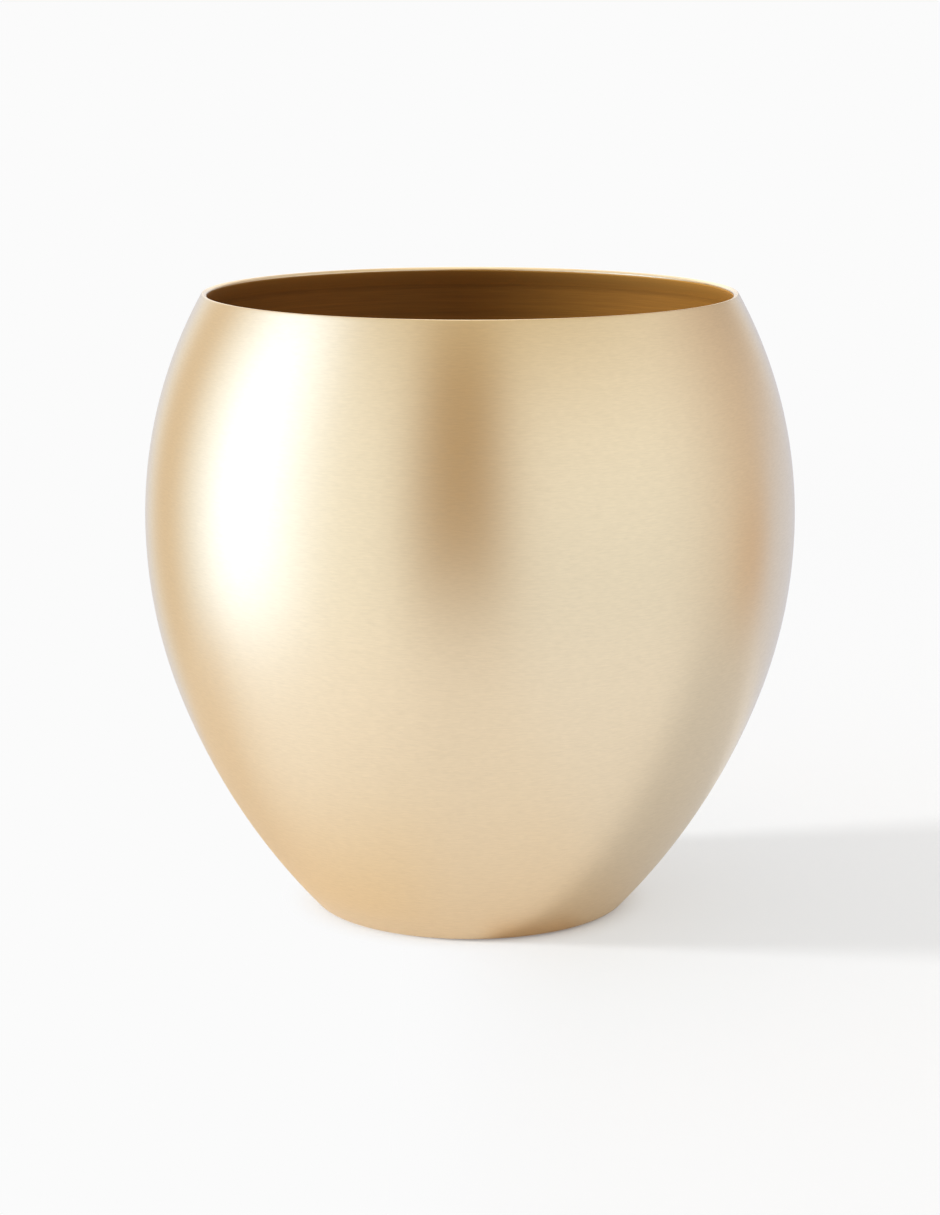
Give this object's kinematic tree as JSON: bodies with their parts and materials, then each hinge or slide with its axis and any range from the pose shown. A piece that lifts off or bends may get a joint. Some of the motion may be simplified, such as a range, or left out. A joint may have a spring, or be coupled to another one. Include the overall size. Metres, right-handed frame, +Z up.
{
  "type": "flower pot",
  "caption": "Egg-shaped brushed brass flower pot with a narrower open mouth, a folded and rounded lip and a flat foot on felt pads.",
  "frame": {"origin": "on the surface that the pot stands on, at the middle of the foot", "axes": "+Z up, the pot's axis of revolution; X and Y lie level, with a foot pad in the middle of each quarter between them"},
  "size_m": [0.305, 0.305, 0.292],
  "materials": {
    "brushed_brass": "spun sheet, brushed round the pot with fine grit outside and over the lip, tarnished dark and left from the spinning inside",
    "weld_brass": "ground flush and brushed outside, left as welded inside",
    "pad_felt": "pressed wool felt, matt"
  },
  "bodies": {
    "root": {"upper_shell": "brushed_brass", "belly_weld": "weld_brass", "lower_bowl": "brushed_brass", "foot_pad_1": "pad_felt", "foot_pad_2": "pad_felt", "foot_pad_3": "pad_felt", "foot_pad_4": "pad_felt"}
  },
  "joints": []
}
